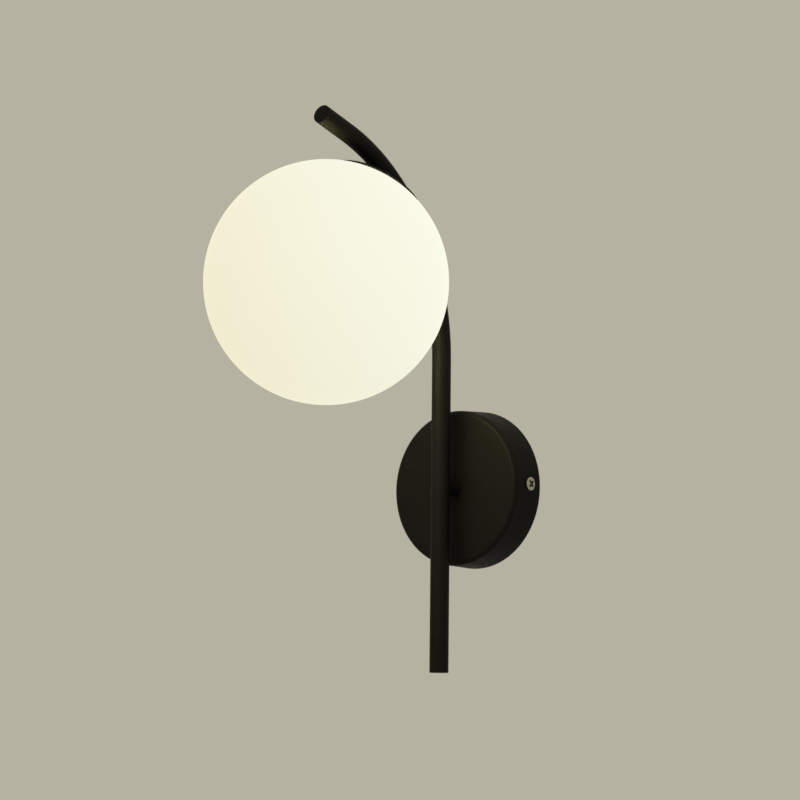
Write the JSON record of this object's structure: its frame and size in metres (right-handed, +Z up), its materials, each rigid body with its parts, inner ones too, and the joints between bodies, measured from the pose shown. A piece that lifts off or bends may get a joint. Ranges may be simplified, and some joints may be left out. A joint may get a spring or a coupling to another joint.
{
  "type": "globe wall sconce",
  "caption": "Wall light with an opal glass globe hung from the bend of a slim black tube, which stands off a round wall cover.",
  "frame": {"origin": "centre of the round wall cover, in the plane of the wall", "axes": "+X right along the wall as seen from the room, +Y into the wall, +Z up; the light stands out towards -Y"},
  "size_m": [0.15, 0.2255, 0.3434],
  "materials": {
    "powder_coat": "fine matt black powder coat on steel",
    "nickel_screw": "bright nickel plating",
    "zinc_steel": "bright zinc plating",
    "brass": "bare turned brass",
    "tinned_copper": "tinned copper",
    "nylon": "natural nylon",
    "steatite": "unglazed ceramic",
    "brown_lead": "brown silicone insulation",
    "blue_lead": "blue silicone insulation",
    "earth_lead": "green insulation with a yellow stripe",
    "aluminium": "turned aluminium",
    "silicone": "translucent silicone",
    "lamp_plastic": "white moulded plastic",
    "lamp_board": "white board with yellow phosphor chips",
    "opal_glass": "satin opal glass, lit from inside"
  },
  "bodies": {
    "fixture": {"canopy_cover": "powder_coat", "wall_stub": "powder_coat", "arm_tube": "powder_coat", "lower_end_plug": "powder_coat", "upper_end_plug": "powder_coat", "holder_stub": "powder_coat", "globe_cap": "powder_coat", "side_screws": "nickel_screw", "wall_bracket": "zinc_steel", "earth_screw": "zinc_steel", "terminal_fixing_screw": "zinc_steel", "wall_stub_washer": "zinc_steel", "wall_stub_nut": "zinc_steel", "cap_washer": "zinc_steel", "cap_nut": "zinc_steel", "lampholder_nut": "zinc_steel", "lampholder_bracket": "zinc_steel", "lampholder_screws": "zinc_steel", "terminal_screws": "zinc_steel", "terminal_inserts": "brass", "earth_ring": "tinned_copper", "lampholder_contacts": "tinned_copper", "terminal_block": "nylon", "lampholder_body": "steatite", "live_lead": "brown_lead", "neutral_lead": "blue_lead", "earth_lead": "earth_lead", "threaded_cup": "aluminium"},
    "gasket": {"globe_gasket": "silicone"},
    "globe": {"globe_glass": "opal_glass", "globe_ring": "aluminium"},
    "lamp": {"bulb_base": "lamp_plastic", "bulb_cover": "lamp_plastic", "bulb_board": "lamp_board", "bulb_pins": "tinned_copper"}
  },
  "joints": [
    {"name": "globe_travel", "type": "slide", "parent": "fixture", "child": "gasket", "axis": [0, -0.5878, -0.809], "range_m": [0, 0.008]},
    {"name": "globe_turn", "type": "hinge", "parent": "gasket", "child": "globe", "pos_m": [0, -0.15047, 0.11762], "axis": [0, -0.5878, -0.809], "range_deg": [0, 720]},
    {"name": "lamp_pull", "type": "slide", "parent": "fixture", "child": "lamp", "axis": [0, -0.5878, -0.809], "range_m": [0, 0.0145]}
  ],
  "couplings": [
    {"joint": "globe_travel", "follows": "globe_turn", "m_per_rad": 0.000636}
  ]
}
